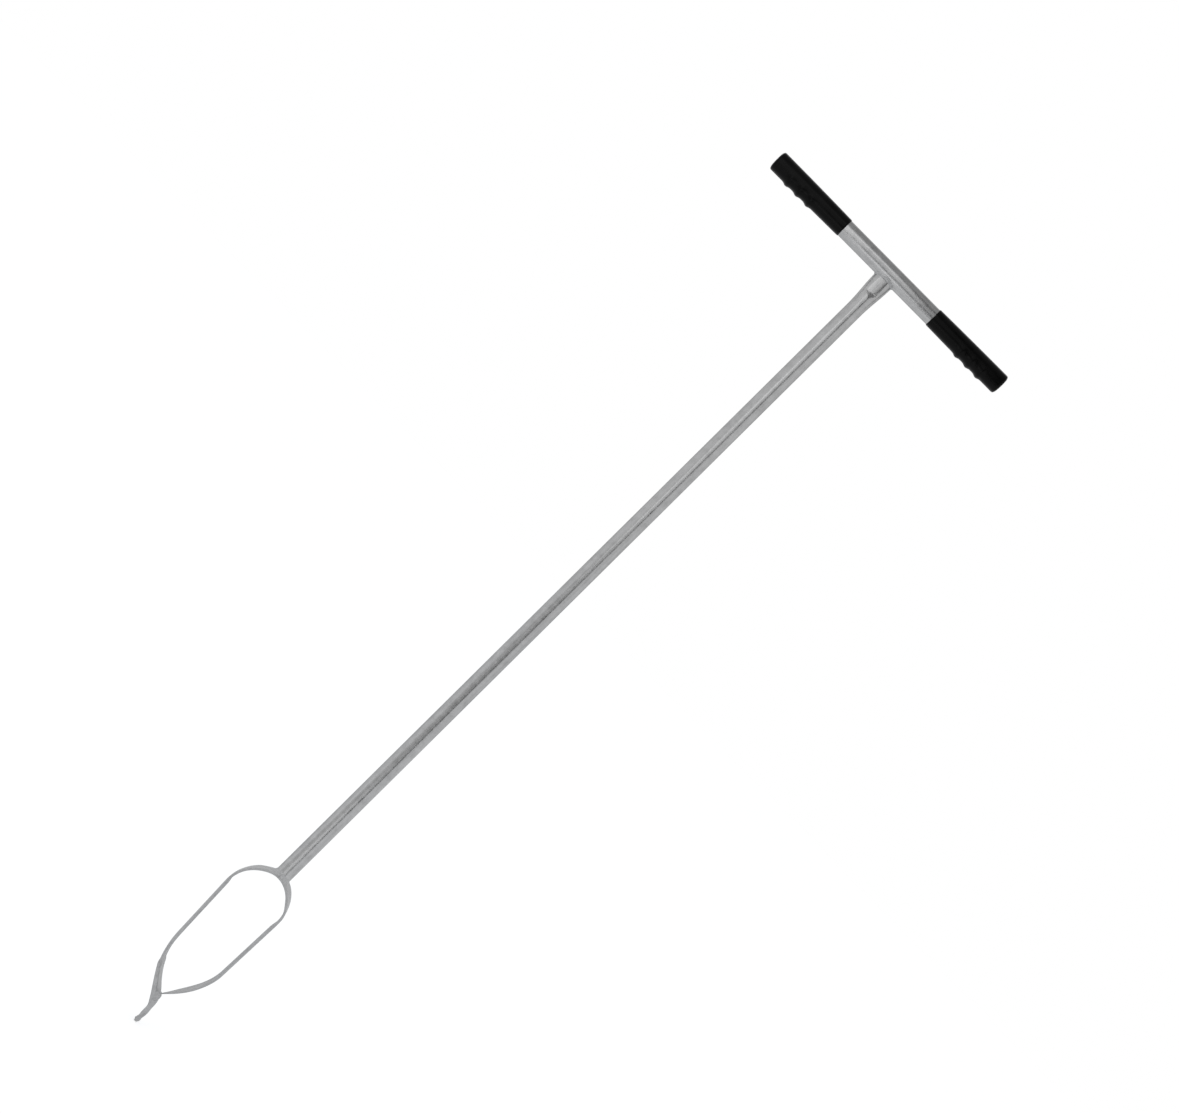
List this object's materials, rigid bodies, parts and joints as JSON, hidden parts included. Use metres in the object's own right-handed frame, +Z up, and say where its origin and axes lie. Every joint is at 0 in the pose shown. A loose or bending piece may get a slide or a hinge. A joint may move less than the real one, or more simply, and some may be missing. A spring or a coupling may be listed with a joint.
{
  "type": "soil auger",
  "caption": "Hand soil auger with a T handle, a tube shaft and an open head of two blades that meet in a twisted bit.",
  "frame": {"origin": "on the end face of the bit, on the shaft's line, where the soil holds the auger up", "axes": "+Z up the shaft, +X along the handle towards the right grip, +Y away from the viewer"},
  "size_m": [0.35, 0.0264, 1.1816],
  "materials": {
    "tube_steel": "satin, drawn along the tube",
    "blade_steel": "satin, ground and slightly mottled",
    "weld_steel": "satin weld bead",
    "grip_rubber": "matt, fine grain"
  },
  "bodies": {
    "root": {"handle_tube": "tube_steel", "grip_left": "grip_rubber", "grip_right": "grip_rubber", "shaft_tube": "tube_steel", "handle_weld": "weld_steel", "foot_weld": "weld_steel", "blade_left": "blade_steel", "blade_right": "blade_steel", "bit": "blade_steel", "arm_weld": "weld_steel", "lap_weld": "weld_steel"}
  },
  "joints": []
}
